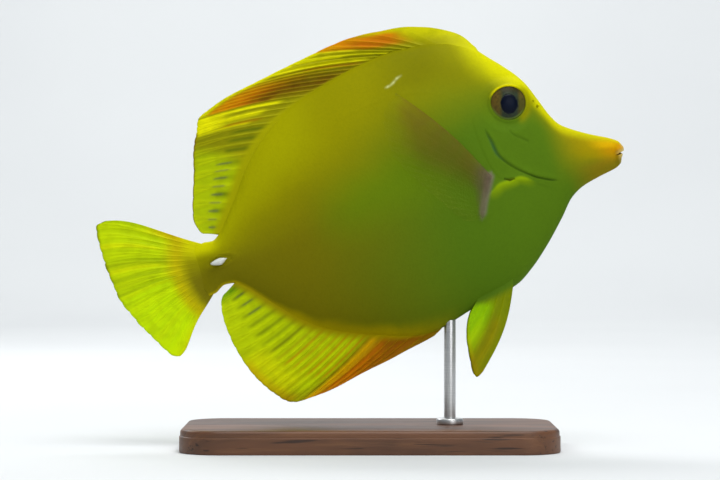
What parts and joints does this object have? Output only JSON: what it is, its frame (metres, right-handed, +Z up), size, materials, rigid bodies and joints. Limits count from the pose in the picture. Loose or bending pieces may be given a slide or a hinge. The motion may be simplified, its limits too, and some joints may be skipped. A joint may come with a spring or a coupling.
{
  "type": "yellow tang fish model on a display stand",
  "caption": "Life-size yellow surgeonfish with a tall disc-shaped body, pointed snout, folded fins and white tail spine, held nose up on a rod and flat base.",
  "frame": {"origin": "centre of the stand base's underside", "axes": "+X the way the fish faces, +Y to its left, +Z up"},
  "size_m": [0.181, 0.066, 0.1444],
  "materials": {
    "skin": "fine velvety scales, bright yellow along the back, olive green low on the head and flank, orange snout",
    "fin": "thin ribbed membrane, lime yellow with orange folds",
    "eye": "wet and glossy, dark pupil in a brown ring",
    "scalpel": "smooth white spine",
    "stand_wood": "dark, oiled, fine grain",
    "stand_steel": "fine turned lines"
  },
  "bodies": {
    "root": {"head": "skin", "gill_cover_left": "skin", "gill_cover_right": "skin", "trunk": "skin", "tail_stalk": "skin", "dorsal_fin": "fin", "anal_fin": "fin", "tail_fin": "fin", "pectoral_fin_left": "fin", "pectoral_fin_right": "fin", "pelvic_fin_left": "fin", "pelvic_fin_right": "fin", "eye_left": "eye", "eye_right": "eye", "scalpel_left": "scalpel", "scalpel_right": "scalpel", "stand_base": "stand_wood", "stand_rod": "stand_steel"}
  },
  "joints": []
}
